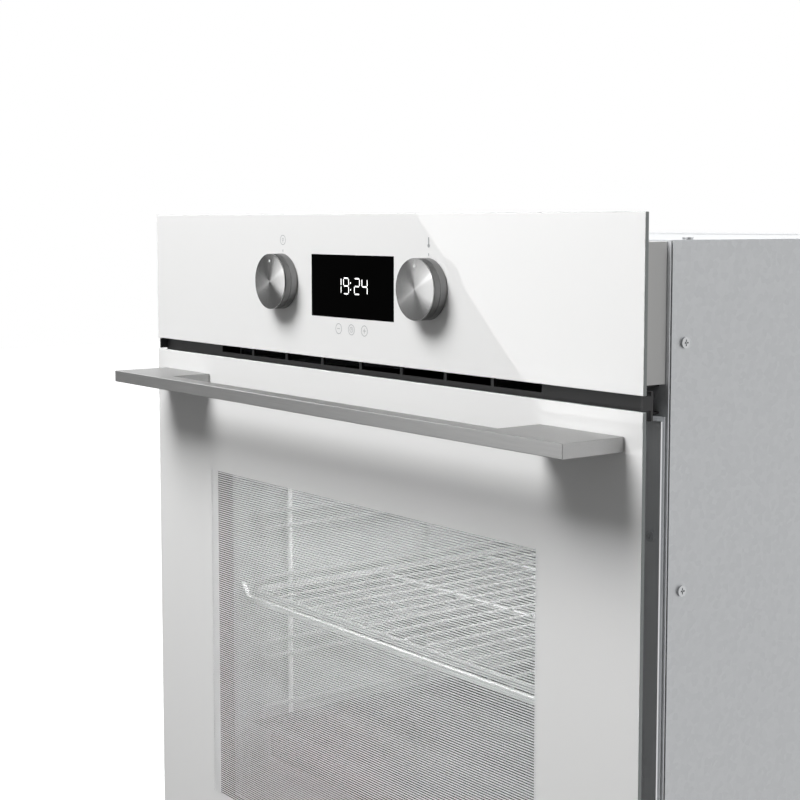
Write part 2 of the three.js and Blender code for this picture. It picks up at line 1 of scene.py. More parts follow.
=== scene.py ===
import math
import bmesh
import bpy
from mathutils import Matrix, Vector


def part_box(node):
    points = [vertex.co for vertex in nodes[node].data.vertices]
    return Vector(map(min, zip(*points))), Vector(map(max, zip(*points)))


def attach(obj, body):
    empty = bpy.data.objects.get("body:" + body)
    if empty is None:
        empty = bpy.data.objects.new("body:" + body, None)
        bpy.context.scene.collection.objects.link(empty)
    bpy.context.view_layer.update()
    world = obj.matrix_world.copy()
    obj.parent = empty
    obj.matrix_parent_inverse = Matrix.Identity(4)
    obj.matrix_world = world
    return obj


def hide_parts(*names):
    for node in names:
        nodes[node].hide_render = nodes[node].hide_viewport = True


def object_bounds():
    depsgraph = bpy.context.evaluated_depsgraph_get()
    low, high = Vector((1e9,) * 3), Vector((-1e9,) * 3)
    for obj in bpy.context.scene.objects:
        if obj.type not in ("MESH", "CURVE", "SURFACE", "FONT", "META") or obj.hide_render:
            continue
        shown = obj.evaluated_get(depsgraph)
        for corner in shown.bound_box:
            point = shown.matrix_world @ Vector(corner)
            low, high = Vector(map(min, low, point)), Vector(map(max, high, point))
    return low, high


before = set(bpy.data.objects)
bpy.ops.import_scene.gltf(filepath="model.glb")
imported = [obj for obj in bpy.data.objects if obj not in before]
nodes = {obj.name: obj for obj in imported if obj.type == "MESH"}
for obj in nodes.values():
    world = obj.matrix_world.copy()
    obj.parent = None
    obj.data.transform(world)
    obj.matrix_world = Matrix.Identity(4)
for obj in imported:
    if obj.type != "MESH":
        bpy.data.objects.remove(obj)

# A 60 cm wall oven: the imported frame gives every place, this file gives the finishes and the fine parts.
# Metres. The front faces -Y.
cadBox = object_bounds()


# small tools
def keepMesh(name, bm, materials, smooth=None):
    mesh = bpy.data.meshes.new(name)
    bmesh.ops.recalc_face_normals(bm, faces=bm.faces[:])
    bm.to_mesh(mesh)
    bm.free()
    for material in materials:
        mesh.materials.append(material)
    piece = bpy.data.objects.new(name, mesh)
    bpy.context.scene.collection.objects.link(piece)
    if smooth is not None:
        mesh.shade_smooth()
        mesh.set_sharp_from_angle(angle=math.radians(smooth))
    return piece


def bevelPiece(piece, width, segments=2, angle=40):
    bevel = piece.modifiers.new("Rounding", "BEVEL")
    bevel.width = width
    bevel.segments = segments
    bevel.limit_method = "ANGLE"
    bevel.angle_limit = math.radians(angle)
    bevel.harden_normals = True
    return bevel


def applied(piece):
    # the evaluated mesh takes the place of the modifiers
    depsgraph = bpy.context.evaluated_depsgraph_get()
    result = bpy.data.meshes.new_from_object(piece.evaluated_get(depsgraph))
    piece.modifiers.clear()
    piece.data = result
    return piece


def ridesOn(piece, body, slot, *replaced):
    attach(piece, body)
    if replaced:
        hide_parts(*replaced)
    return piece


def addBox(bm, low, high, material=0):
    made = bmesh.ops.create_cube(bm, size=1)
    middle = [(a + b) / 2 for a, b in zip(low, high)]
    size = [b - a for a, b in zip(low, high)]
    for vert in made["verts"]:
        vert.co = Vector([middle[i] + vert.co[i] * size[i] for i in range(3)])
    for face in {f for v in made["verts"] for f in v.link_faces}:
        face.material_index = material
    return made["verts"]


def addPrism(bm, outline, y0, y1, material=0):
    # a closed prism from an outline of (x, z) points, between two Y planes
    front = [bm.verts.new((x, y0, z)) for x, z in outline]
    back = [bm.verts.new((x, y1, z)) for x, z in outline]
    faces = [bm.faces.new(front), bm.faces.new(back[::-1])]
    for i in range(len(outline)):
        j = (i + 1) % len(outline)
        faces.append(bm.faces.new((front[i], back[i], back[j], front[j])))
    for face in faces:
        face.material_index = material


def addLathe(bm, profile, centre, steps):
    # profile points are (radius, place along Y); a radius of 0 closes on the axis
    rings = []
    for radius, along in profile:
        if radius <= 1e-7:
            spots = [(0.0, 0.0)]
        else:
            turns = [2 * math.pi * i / steps for i in range(steps)]
            spots = [(radius * math.cos(turn), radius * math.sin(turn)) for turn in turns]
        rings.append([bm.verts.new(Vector((u, along, v)) + centre) for u, v in spots])
    pairs = list(zip(rings, rings[1:]))
    if len(rings[0]) > 1 and len(rings[-1]) > 1:
        pairs.append((rings[-1], rings[0]))
    for first, second in pairs:
        for i in range(steps):
            j = (i + 1) % steps
            corners = [first[i % len(first)], first[j % len(first)],
                       second[j % len(second)], second[i % len(second)]]
            unique = list(dict.fromkeys(corners))
            if len(unique) > 2:
                bm.faces.new(unique)


def addTube(bm, points, radius, sides=10, closed=False):
    # a round rod along a list of points, with its joints mitred
    points = [Vector(p) for p in points]
    rings = []
    side = None
    count = len(points)
    for i, point in enumerate(points):
        before = points[i - 1] if (i or closed) else None
        after = points[(i + 1) % count] if (i < count - 1 or closed) else None
        ahead = (after - point).normalized() if after else (point - before).normalized()
        behind = (point - before).normalized() if before else ahead
        along = (ahead + behind).normalized()
        if side is None:
            guess = Vector((0, 0, 1)) if abs(along.z) < 0.8 else Vector((1, 0, 0))
            side = along.cross(guess).normalized()
        side = (side - along * side.dot(along)).normalized()
        up = along.cross(side)
        stretch = 1 / max(along.dot(ahead), 0.5)
        turn = ahead - behind
        ring = []
        for k in range(sides):
            angle = 2 * math.pi * k / sides
            offset = side * math.cos(angle) * radius + up * math.sin(angle) * radius
            if turn.length > 1e-6:
                bend = turn.normalized()
                offset += bend * offset.dot(bend) * (stretch - 1)
            ring.append(bm.verts.new(point + offset))
        rings.append(ring)
    pairs = list(zip(rings, rings[1:])) + ([(rings[-1], rings[0])] if closed else [])
    for first, second in pairs:
        for k in range(sides):
            n = (k + 1) % sides
            bm.faces.new((first[k], first[n], second[n], second[k]))
    if not closed:
        bm.faces.new(rings[0])
        bm.faces.new(rings[-1][::-1])


def roundedPath(points, bend, steps=5):
    # the same corners, each turned into a short arc
    points = [Vector(p) for p in points]
    path = [points[0]]
    for before, corner, after in zip(points, points[1:], points[2:]):
        start = corner + (before - corner).normalized() * bend
        end = corner + (after - corner).normalized() * bend
        for i in range(steps + 1):
            t = i / steps
            path.append(start * (1 - t) ** 2 + corner * 2 * t * (1 - t) + end * t ** 2)
    path.append(points[-1])
    return path


# shader tools
def addNode(tree, kind, **settings):
    node = tree.nodes.new(kind)
    for key, value in settings.items():
        if key in node.inputs:
            node.inputs[key].default_value = value
        else:
            setattr(node, key, value)
    return node


def wires(tree, *joins):
    # each join reads: node, its output, next node, its input
    for start, output, end, entry in joins:
        tree.links.new(start.outputs[output], end.inputs[entry])


def newGroup(name, inputs, outputs):
    group = bpy.data.node_groups.new(name, "ShaderNodeTree")
    for label, kind, value in inputs:
        socket = group.interface.new_socket(label, in_out="INPUT", socket_type=kind)
        if value is not None:
            socket.default_value = value
    for label, kind in outputs:
        group.interface.new_socket(label, in_out="OUTPUT", socket_type=kind)
    return group, group.nodes.new("NodeGroupInput"), group.nodes.new("NodeGroupOutput")


def makeGrain():
    # fine grain with a slow drift under it; the vector is stretched outside for brushed metal
    group, given, result = newGroup(
        "fineGrain",
        [("Vector", "NodeSocketVector", None), ("Fine Scale", "NodeSocketFloat", 900.0),
         ("Drift Scale", "NodeSocketFloat", 6.0), ("Drift", "NodeSocketFloat", 0.3),
         ("Depth", "NodeSocketFloat", 0.1)],
        [("Tone", "NodeSocketFloat"), ("Normal", "NodeSocketVector")])
    fine = addNode(group, "ShaderNodeTexNoise", Detail=3.0, Roughness=0.6)
    drift = addNode(group, "ShaderNodeTexNoise", Detail=2.0)
    mixed = addNode(group, "ShaderNodeMix", data_type="FLOAT")
    bump = addNode(group, "ShaderNodeBump", Distance=0.00004)
    wires(group, (given, "Vector", fine, "Vector"), (given, "Vector", drift, "Vector"),
          (given, "Fine Scale", fine, "Scale"), (given, "Drift Scale", drift, "Scale"),
          (given, "Drift", mixed, 0), (fine, 0, mixed, 2), (drift, 0, mixed, 3),
          (fine, 0, bump, "Height"), (given, "Depth", bump, "Strength"), (mixed, 0, result, "Tone"),
          (bump, 0, result, "Normal"))
    return group


def makeSpangle():
    # the crystal pattern of hot-dip zinc
    group, given, result = newGroup(
        "zincSpangle",
        [("Vector", "NodeSocketVector", None), ("Scale", "NodeSocketFloat", 90.0)],
        [("Tone", "NodeSocketFloat"), ("Height", "NodeSocketFloat")])
    cells = addNode(group, "ShaderNodeTexVoronoi", feature="F1")
    split = addNode(group, "ShaderNodeSeparateColor")
    fine = addNode(group, "ShaderNodeTexNoise", Scale=700.0, Detail=2.0)
    mixed = addNode(group, "ShaderNodeMix", data_type="FLOAT")
    mixed.inputs[0].default_value = 0.35
    wires(group, (given, "Vector", cells, "Vector"), (given, "Scale", cells, "Scale"),
          (given, "Vector", fine, "Vector"), (cells, "Color", split, 0), (split, 0, mixed, 2),
          (fine, 0, mixed, 3), (mixed, 0, result, "Tone"), (split, 1, result, "Height"))
    return group


grainGroup = makeGrain()
spangleGroup = makeSpangle()
print("shader groups made")


def newMaterial(name):
    material = bpy.data.materials.new(name)
    material.use_nodes = True
    tree = material.node_tree
    shader = tree.nodes["Principled BSDF"]
    return material, tree, shader


def grainOn(tree, stretch, **values):
    place = addNode(tree, "ShaderNodeTexCoord")
    mapping = addNode(tree, "ShaderNodeMapping")
    mapping.inputs["Scale"].default_value = stretch
    grain = addNode(tree, "ShaderNodeGroup", node_tree=grainGroup)
    for key, value in values.items():
        grain.inputs[key].default_value = value
    wires(tree, (place, "Object", mapping, "Vector"), (mapping, 0, grain, "Vector"))
    return grain


def twoTones(tree, source, dark, light, shader, socket="Base Color"):
    mix = addNode(tree, "ShaderNodeMix", data_type="RGBA")
    mix.inputs[6].default_value = (*dark, 1)
    mix.inputs[7].default_value = (*light, 1)
    tree.links.new(source, mix.inputs[0])
    wires(tree, (mix, 2, shader, socket))


def spread(tree, source, low, high, shader, socket="Roughness"):
    span = addNode(tree, "ShaderNodeMapRange")
    span.inputs["To Min"].default_value = low
    span.inputs["To Max"].default_value = high
    tree.links.new(source, span.inputs["Value"])
    wires(tree, (span, 0, shader, socket))


def grainMaterial(name, dark, light, rough, metallic=0.0, stretch=(1, 1, 1), fine=900.0, drift=0.3,
                  depth=0.1, driftScale=6.0, **fixed):
    material, tree, shader = newMaterial(name)
    shader.inputs["Metallic"].default_value = metallic
    for key, value in fixed.items():
        shader.inputs[key.replace("_", " ")].default_value = value
    values = {"Fine Scale": fine, "Drift Scale": driftScale, "Drift": drift, "Depth": depth}
    grain = grainOn(tree, stretch, **values)
    twoTones(tree, grain.outputs["Tone"], dark, light, shader)
    spread(tree, grain.outputs["Tone"], rough[0], rough[1], shader)
    if depth:
        wires(tree, (grain, "Normal", shader, "Normal"))
    return material


def paneMaterial(name, tint, smooth=0.0):
    # clear glass: the lamps shine through it, the eye sees its shine and its tint
    material, tree, shader = newMaterial(name)
    shader.inputs["Base Color"].default_value = (*tint, 1)
    shader.inputs["Roughness"].default_value = smooth
    shader.inputs["Transmission Weight"].default_value = 1.0
    shader.inputs["IOR"].default_value = 1.45
    light = addNode(tree, "ShaderNodeLightPath")
    clear = addNode(tree, "ShaderNodeBsdfTransparent")
    clear.inputs["Color"].default_value = (*tint, 1)
    mix = addNode(tree, "ShaderNodeMixShader")
    output = tree.nodes["Material Output"]
    wires(tree, (light, "Is Shadow Ray", mix, 0), (shader, 0, mix, 1), (clear, 0, mix, 2),
          (mix, 0, output, "Surface"))
    return material


def zincMaterial():
    material, tree, shader = newMaterial("zincCoatedSheet")
    shader.inputs["Metallic"].default_value = 0.45
    place = addNode(tree, "ShaderNodeTexCoord")
    pattern = addNode(tree, "ShaderNodeGroup", node_tree=spangleGroup)
    pattern.inputs["Scale"].default_value = 260.0
    bump = addNode(tree, "ShaderNodeBump", Strength=0.06, Distance=0.0001)
    wires(tree, (place, "Object", pattern, "Vector"), (pattern, "Height", bump, "Height"),
          (bump, 0, shader, "Normal"))
    twoTones(tree, pattern.outputs["Tone"], (0.66, 0.675, 0.69), (0.76, 0.775, 0.79), shader)
    spread(tree, pattern.outputs["Tone"], 0.34, 0.48, shader)
    return material


def spunMaterial():
    # the turned face of a knob: fine rings, so its shine spreads into two fans
    material, tree, shader = newMaterial("spunSteel")
    shader.inputs["Metallic"].default_value = 1.0
    shader.inputs["Anisotropic"].default_value = 0.93
    shader.inputs["Anisotropic Rotation"].default_value = 0.25
    tangent = addNode(tree, "ShaderNodeTangent", direction_type="RADIAL", axis="Y")
    ringGrain = {"Fine Scale": 1500.0, "Drift Scale": 40.0, "Drift": 0.4, "Depth": 0.03}
    grain = grainOn(tree, (1, 1, 1), **ringGrain)
    twoTones(tree, grain.outputs["Tone"], (0.38, 0.38, 0.38), (0.46, 0.46, 0.455), shader)
    spread(tree, grain.outputs["Tone"], 0.22, 0.27, shader)
    wires(tree, (tangent, 0, shader, "Tangent"))
    return material


def glowMaterial(name, colour, strength):
    material, tree, shader = newMaterial(name)
    shader.inputs["Base Color"].default_value = (*colour, 1)
    shader.inputs["Emission Strength"].default_value = strength
    softGrain = {"Fine Scale": 400.0, "Drift Scale": 80.0, "Drift": 0.5, "Depth": 0.0}
    grain = grainOn(tree, (1, 1, 1), **softGrain)
    dimmer = tuple(part * 0.94 for part in colour)
    twoTones(tree, grain.outputs["Tone"], dimmer, colour, shader, "Emission Color")
    return material


def grey(tone):
    return (tone, tone, tone)


materials = {
    "whiteGlass": grainMaterial(
        "whiteCoatedGlass", (0.835, 0.835, 0.83), (0.855, 0.855, 0.85), (0.008, 0.02), fine=60.0,
        driftScale=3.0, drift=0.7, depth=0.0, IOR=1.5),
    "glassEdge": grainMaterial(
        "groundGlassEdge", (0.30, 0.33, 0.325), (0.38, 0.41, 0.405), (0.12, 0.25), fine=500.0,
        drift=0.3, depth=0.05),
    "displayGlass": grainMaterial(
        "blackDisplayGlass", grey(0.0004), grey(0.0010), (0.03, 0.06), fine=80.0, depth=0.0,
        Specular_IOR_Level=0.02),
    "clearPane": paneMaterial("clearWindowGlass", (0.975, 0.978, 0.977)),
    "innerPane": paneMaterial("lowHeatLossGlass", (0.95, 0.953, 0.953)),
    "blackPrint": grainMaterial(
        "blackCeramicPrint", grey(0.006), grey(0.012), (0.45, 0.6), fine=700.0, depth=0.03),
    "whitePrint": grainMaterial(
        "whiteCeramicPrint", grey(0.79), grey(0.84), (0.35, 0.5), fine=700.0, depth=0.02),
    "greyPrint": grainMaterial(
        "greySymbolPrint", (0.30, 0.31, 0.32), (0.38, 0.39, 0.40), (0.3, 0.4), fine=900.0,
        depth=0.02),
    "spunSteel": spunMaterial(),
    "ringSteel": grainMaterial(
        "satinTurnedSteel", grey(0.20), grey(0.30), (0.30, 0.42), metallic=1.0, stretch=(1, 14, 1),
        fine=700.0, drift=0.15, depth=0.10),
    "handleSteel": grainMaterial(
        "longBrushedSteel", grey(0.34), (0.47, 0.47, 0.465), (0.28, 0.40), metallic=1.0,
        stretch=(0.02, 1, 1), fine=1400.0, drift=0.2, depth=0.12, Anisotropic=0.4),
    "whitePlastic": grainMaterial(
        "whiteMouldedPlastic", (0.70, 0.70, 0.69), (0.76, 0.76, 0.75), (0.38, 0.5), fine=1200.0,
        depth=0.08),
    "blackPlastic": grainMaterial(
        "blackMouldedPlastic", (0.014, 0.014, 0.015), (0.028, 0.028, 0.03), (0.4, 0.55),
        fine=1100.0, depth=0.12),
    "greyPlastic": grainMaterial(
        "darkVentPlastic", (0.020, 0.020, 0.021), (0.034, 0.034, 0.035), (0.42, 0.55), fine=1100.0,
        depth=0.12),
    "boardGreen": grainMaterial(
        "lacqueredBoard", (0.02, 0.13, 0.06), (0.035, 0.19, 0.09), (0.25, 0.4), fine=300.0,
        depth=0.05),
    "zinc": zincMaterial(),
    "aluminium": grainMaterial(
        "satinAluminium", (0.66, 0.67, 0.68), (0.76, 0.77, 0.78), (0.28, 0.4), metallic=1.0,
        stretch=(1, 1, 0.03), fine=1100.0, drift=0.2, depth=0.08),
    "liner": grainMaterial(
        "greyCavityEnamel", (0.25, 0.252, 0.256), (0.32, 0.323, 0.328), (0.22, 0.34), fine=1400.0,
        drift=0.35, depth=0.08, driftScale=9.0, Coat_Weight=0.3),
    "tray": grainMaterial(
        "blackTrayEnamel", (0.012, 0.012, 0.014), (0.03, 0.03, 0.034), (0.14, 0.26), fine=1300.0,
        depth=0.06, Coat_Weight=0.5),
    "chrome": grainMaterial(
        "chromePlatedWire", (0.40, 0.40, 0.405), (0.47, 0.475, 0.48), (0.34, 0.46), metallic=0.45,
        fine=600.0, depth=0.02),
    # near-white and not metal: a painted highlight, the shine of the chrome wire painted onto the front
    # post and the front rail
    "paintedHighlightWire": grainMaterial(
        "paintedHighlightWire", grey(0.93), grey(0.97), (0.30, 0.40), metallic=0.0, fine=600.0,
        depth=0.02),
    "heater": grainMaterial(
        "heatDarkenedSteel", (0.07, 0.06, 0.055), (0.17, 0.15, 0.14), (0.4, 0.6), metallic=0.7,
        fine=500.0, drift=0.5, depth=0.1, driftScale=20.0),
    "rubber": grainMaterial(
        "ovenSealSilicone", (0.03, 0.03, 0.031), (0.055, 0.055, 0.056), (0.6, 0.8), fine=1300.0,
        depth=0.2),
    "wool": grainMaterial(
        "mineralWool", (0.42, 0.34, 0.18), (0.66, 0.57, 0.36), (0.9, 1.0), stretch=(1, 0.35, 1),
        fine=420.0, drift=0.4, depth=0.9),
    "lampGlass": paneMaterial("pressedLampGlass", (0.93, 0.96, 0.94), 0.12),
    "digits": glowMaterial("whiteDigits", grey(1.0), 1.05),
    "screwSteel": grainMaterial(
        "platedScrewSteel", (0.52, 0.53, 0.54), (0.66, 0.67, 0.68), (0.25, 0.4), metallic=1.0,
        fine=900.0, depth=0.08),
}
print("materials made:", len(materials))

nodesWith = {
    "whitePlastic": ("fascia_carrier", "lamp_holder"),
    "blackPlastic": ("display_module", "function_switch", "thermostat", "glass_clip_left",
                     "glass_clip_right", "blower_wheel", "terminal_box"),
    "greyPlastic": ("touch_board", "vent_grille"),
    "boardGreen": ("control_board",),
    "screwSteel": ("function_knob_shaft", "temperature_knob_shaft", "hinge_arm_left",
                   "hinge_arm_right", "hinge_pin_left", "hinge_pin_right"),
    "clearPane": ("door_middle_glass",),
    "innerPane": ("door_inner_glass",),
    "aluminium": ("door_side_profile_left", "door_side_profile_right", "door_top_rail",
                  "door_bottom_rail", "side_trim_left", "side_trim_right", "convection_fan"),
    "zinc": ("hinge_cassette_left", "hinge_cassette_right", "hinge_receiver_left",
             "hinge_receiver_right", "front_frame", "fan_motor", "air_duct", "blower_housing",
             "blower_motor", "base_pan", "outer_side_left", "outer_side_right", "outer_top_cover",
             "outer_back_panel"),
    "rubber": ("door_gasket",),
    "liner": ("cavity_liner", "fan_cover"),
    "heater": ("ring_element", "grill_element", "lower_element"),
    "lampGlass": ("lamp_lens",),
    "tray": ("baking_tray",),
    "chrome": ("side_rack_left", "side_rack_right", "wire_shelf"),
    "wool": ("insulation_wrap",),
}
for finishName, nodeNames in nodesWith.items():
    for nodeName in nodeNames:
        slots = nodes[nodeName].material_slots
        for slot in slots:
            slot.material = materials[finishName]
        if not slots:
            nodes[nodeName].data.materials.append(materials[finishName])
print("frame finishes set:", sum(len(names) for names in nodesWith.values()))


# the two glass fronts
def glassPlate(name, node, zones, finishes, edge):
    # zones are (x0, x1, z0, z1, finish number) on a plate with its own grid of faces
    low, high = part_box(node)
    xs = sorted({low.x, high.x, *[z[0] for z in zones], *[z[1] for z in zones]})
    zs = sorted({low.z, high.z, *[z[2] for z in zones], *[z[3] for z in zones]})
    bm = bmesh.new()
    grid = {}
    for side, y in (("front", low.y), ("back", high.y)):
        for i, x in enumerate(xs):
            for j, z in enumerate(zs):
                grid[side, i, j] = bm.verts.new((x, y, z))
    for side in ("front", "back"):
        for i in range(len(xs) - 1):
            for j in range(len(zs) - 1):
                steps = ((0, 0), (1, 0), (1, 1), (0, 1))
                face = bm.faces.new([grid[side, i + a, j + b] for a, b in steps])
                midX = (xs[i] + xs[i + 1]) / 2
                midZ = (zs[j] + zs[j + 1]) / 2
                for x0, x1, z0, z1, number in zones:
                    if x0 < midX < x1 and z0 < midZ < z1:
                        face.material_index = number
    lastX = len(xs) - 1
    lastZ = len(zs) - 1
    rim = [(i, 0) for i in range(len(xs))] + [(lastX, j) for j in range(1, len(zs))]
    rim += [(i, lastZ) for i in range(lastX - 1, -1, -1)] + [(0, j) for j in range(lastZ - 1, 0, -1)]
    for (i, j), (k, m) in zip(rim, rim[1:] + rim[:1]):
        corners = (("front", i, j), ("front", k, m), ("back", k, m), ("back", i, j))
        face = bm.faces.new([grid[corner] for corner in corners])
        face.material_index = len(finishes) - 1
    plate = keepMesh(name, bm, [materials[f] for f in finishes])
    bevelPiece(plate, edge, 2, 60)
    return applied(plate)


display = {"width": 0.1047, "height": 0.0465, "drop": 0.0303}
window = {
    "width": 0.412, "top": 0.3807, "bottom": 0.1025,
    "pitch": 0.00183, "line": 0.00094, "margin": 0.0006, "ink": 0.00006, "depth": 0.00025,
    "seal": (0.0098, 0.0022), "sealFront": 0.0005, "sealBack": 0.0012, "sealOverlap": 0.002,
}
plateEdge = 0.0005
frontLow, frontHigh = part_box("control_glass")
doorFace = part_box("door_outer_glass")[0].y
displayTop = frontHigh.z - display["drop"]
displayZone = (-display["width"] / 2, display["width"] / 2, displayTop - display["height"], displayTop, 1)
controlGlass = glassPlate("controlGlass", "control_glass", [displayZone],
                          ["whiteGlass", "displayGlass", "glassEdge"], plateEdge)
ridesOn(controlGlass, "casing", "white_glass", "control_glass")
windowZone = (-window["width"] / 2, window["width"] / 2, window["bottom"], window["top"], 1)
doorGlass = glassPlate("doorGlass", "door_outer_glass", [windowZone],
                       ["whiteGlass", "clearPane", "glassEdge"], plateEdge)
ridesOn(doorGlass, "door", "white_glass", "door_outer_glass")
print("glass fronts made")


# printed stripes behind the window, one row of strips by Geometry Nodes
def treeInput(group, modifier, label, value):
    for item in group.interface.items_tree:
        if item.item_type == "SOCKET" and item.in_out == "INPUT" and item.name == label:
            modifier[item.identifier] = value


def newGeometryTree(name, inputs):
    group = bpy.data.node_groups.new(name, "GeometryNodeTree")
    group.interface.new_socket("Geometry", in_out="INPUT", socket_type="NodeSocketGeometry")
    for label, kind, value in inputs:
        socket = group.interface.new_socket(label, in_out="INPUT", socket_type=kind)
        if value is not None:
            socket.default_value = value
    group.interface.new_socket("Geometry", in_out="OUTPUT", socket_type="NodeSocketGeometry")
    return group, group.nodes.new("NodeGroupInput"), group.nodes.new("NodeGroupOutput")


def runTree(name, group, values):
    piece = bpy.data.objects.new(name, bpy.data.meshes.new(name))
    bpy.context.scene.collection.objects.link(piece)
    modifier = piece.modifiers.new("Repeat", "NODES")
    modifier.node_group = group
    for label, value in values.items():
        treeInput(group, modifier, label, value)
    return applied(piece)


def stripeTree(material):
    group, given, result = newGeometryTree("windowStripes", [
        ("Count", "NodeSocketInt", 10), ("Width", "NodeSocketFloat", 0.1),
        ("Line", "NodeSocketFloat", 0.001), ("Thickness", "NodeSocketFloat", 0.0001),
        ("Pitch", "NodeSocketFloat", 0.002), ("Start", "NodeSocketVector", (0.0, 0.0, 0.0))])
    size = addNode(group, "ShaderNodeCombineXYZ")
    strip = addNode(group, "GeometryNodeMeshCube")
    step = addNode(group, "ShaderNodeCombineXYZ")
    row = addNode(group, "GeometryNodeMeshLine", mode="OFFSET")
    place = addNode(group, "GeometryNodeInstanceOnPoints")
    real = addNode(group, "GeometryNodeRealizeInstances")
    paint = addNode(group, "GeometryNodeSetMaterial")
    paint.inputs["Material"].default_value = material
    wires(group, (given, "Width", size, 0), (given, "Thickness", size, 1), (given, "Line", size, 2),
          (size, 0, strip, "Size"), (given, "Pitch", step, 2), (given, "Count", row, "Count"),
          (given, "Start", row, "Start Location"), (step, 0, row, "Offset"), (row, 0, place, "Points"),
          (strip, 0, place, "Instance"), (place, 0, real, 0), (real, 0, paint, "Geometry"),
          (paint, 0, result, "Geometry"))
    return group


stripeCount = int((window["top"] - window["bottom"]) / window["pitch"])
stripes = runTree("windowStripes", stripeTree(materials["whitePrint"]), {
    "Count": stripeCount, "Width": window["width"] - window["margin"], "Line": window["line"],
    "Thickness": window["ink"], "Pitch": window["pitch"],
    "Start": (0.0, doorFace + window["depth"], window["bottom"] + window["pitch"] / 2)})
ridesOn(stripes, "door", "white_glass")
print("window stripes made:", stripeCount)


# dark printed borders on the two inner panes
border = {"front": 0.00012, "back": 0.00004, "margin": 0.001}


def paneBorder(name, node, side, bottom, top):
    low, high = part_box(node)
    margin = border["margin"]
    y0 = low.y - border["front"]
    y1 = low.y - border["back"]
    outer = (low.x + margin, high.x - margin, low.z + margin, high.z - margin)
    inner = (low.x + side, high.x - side, low.z + bottom, high.z - top)
    bm = bmesh.new()
    addBox(bm, (outer[0], y0, outer[2]), (inner[0], y1, outer[3]))
    addBox(bm, (inner[1], y0, outer[2]), (outer[1], y1, outer[3]))
    addBox(bm, (inner[0], y0, outer[2]), (inner[1], y1, inner[2]))
    addBox(bm, (inner[0], y0, inner[3]), (inner[1], y1, outer[3]))
    ridesOn(keepMesh(name, bm, [materials["blackPrint"]]), "door", "clear_glass")


paneBorder("middlePaneBorder", "door_middle_glass", side=0.0345, bottom=0.030, top=0.052)
paneBorder("innerPaneBorder", "door_inner_glass", side=0.036, bottom=0.046, top=0.040)


def windowSpacer():
    # pale sealing strips that close the sides of the window right behind the glass's front face
    reach = window["width"] / 2
    bm = bmesh.new()
    for side, width in zip((-1, 1), window["seal"]):
        xs = sorted((side * (reach + window["sealOverlap"]), side * (reach - width)))
        addBox(bm, (xs[0], doorFace + window["sealFront"], window["bottom"]),
               (xs[1], doorFace + window["sealBack"], window["top"]))
    ridesOn(keepMesh("windowSpacer", bm, [materials["whitePrint"]]), "door", "white_plastic")


windowSpacer()
print("pane borders made")


# knobs
knob = {
    "rim": 0.0009, "grooveDepth": 0.0007, "start": 0.0013, "step": 0.0001, "bore": 0.006, "sides": 128,
    "band": 0.0045, "bandDepth": 0.00025, "ridges": 150, "ridge": (0.0004, 0.0042, 0.00045),
    "dotRadius": 0.0009, "dotDrop": 0.0158, "dotDepth": 0.0002, "dotRise": 0.00002, "dotSides": 20,
}


def ridgeTree():
    # ridges set round a circle about Y
    group, given, result = newGeometryTree("knobRidges", [
        ("Count", "NodeSocketInt", 100), ("Radius", "NodeSocketFloat", 0.02),
        ("Ridge", "NodeSocketVector", (0.001, 0.002, 0.0005)),
        ("Centre", "NodeSocketVector", (0.0, 0.0, 0.0)), ("Material", "NodeSocketMaterial", None)])
    ring = addNode(group, "GeometryNodeMeshCircle")
    stand = addNode(group, "GeometryNodeTransform")
    stand.inputs["Rotation"].default_value = (math.pi / 2, 0, 0)
    ridge = addNode(group, "GeometryNodeMeshCube")
    place = addNode(group, "GeometryNodeInputPosition")
    turn = addNode(group, "FunctionNodeAlignRotationToVector", axis="X", pivot_axis="Y")
    put = addNode(group, "GeometryNodeInstanceOnPoints")
    move = addNode(group, "GeometryNodeTransform")
    real = addNode(group, "GeometryNodeRealizeInstances")
    paint = addNode(group, "GeometryNodeSetMaterial")
    wires(group, (given, "Count", ring, "Vertices"), (given, "Radius", ring, "Radius"),
          (ring, 0, stand, "Geometry"), (given, "Ridge", ridge, "Size"), (place, 0, turn, "Vector"),
          (stand, 0, put, "Points"), (ridge, 0, put, "Instance"), (turn, 0, put, "Rotation"),
          (put, 0, move, "Geometry"), (given, "Centre", move, "Translation"), (move, 0, real, 0),
          (real, 0, paint, "Geometry"), (given, "Material", paint, "Material"),
          (paint, 0, result, "Geometry"))
    return group


knobRidges = ridgeTree()


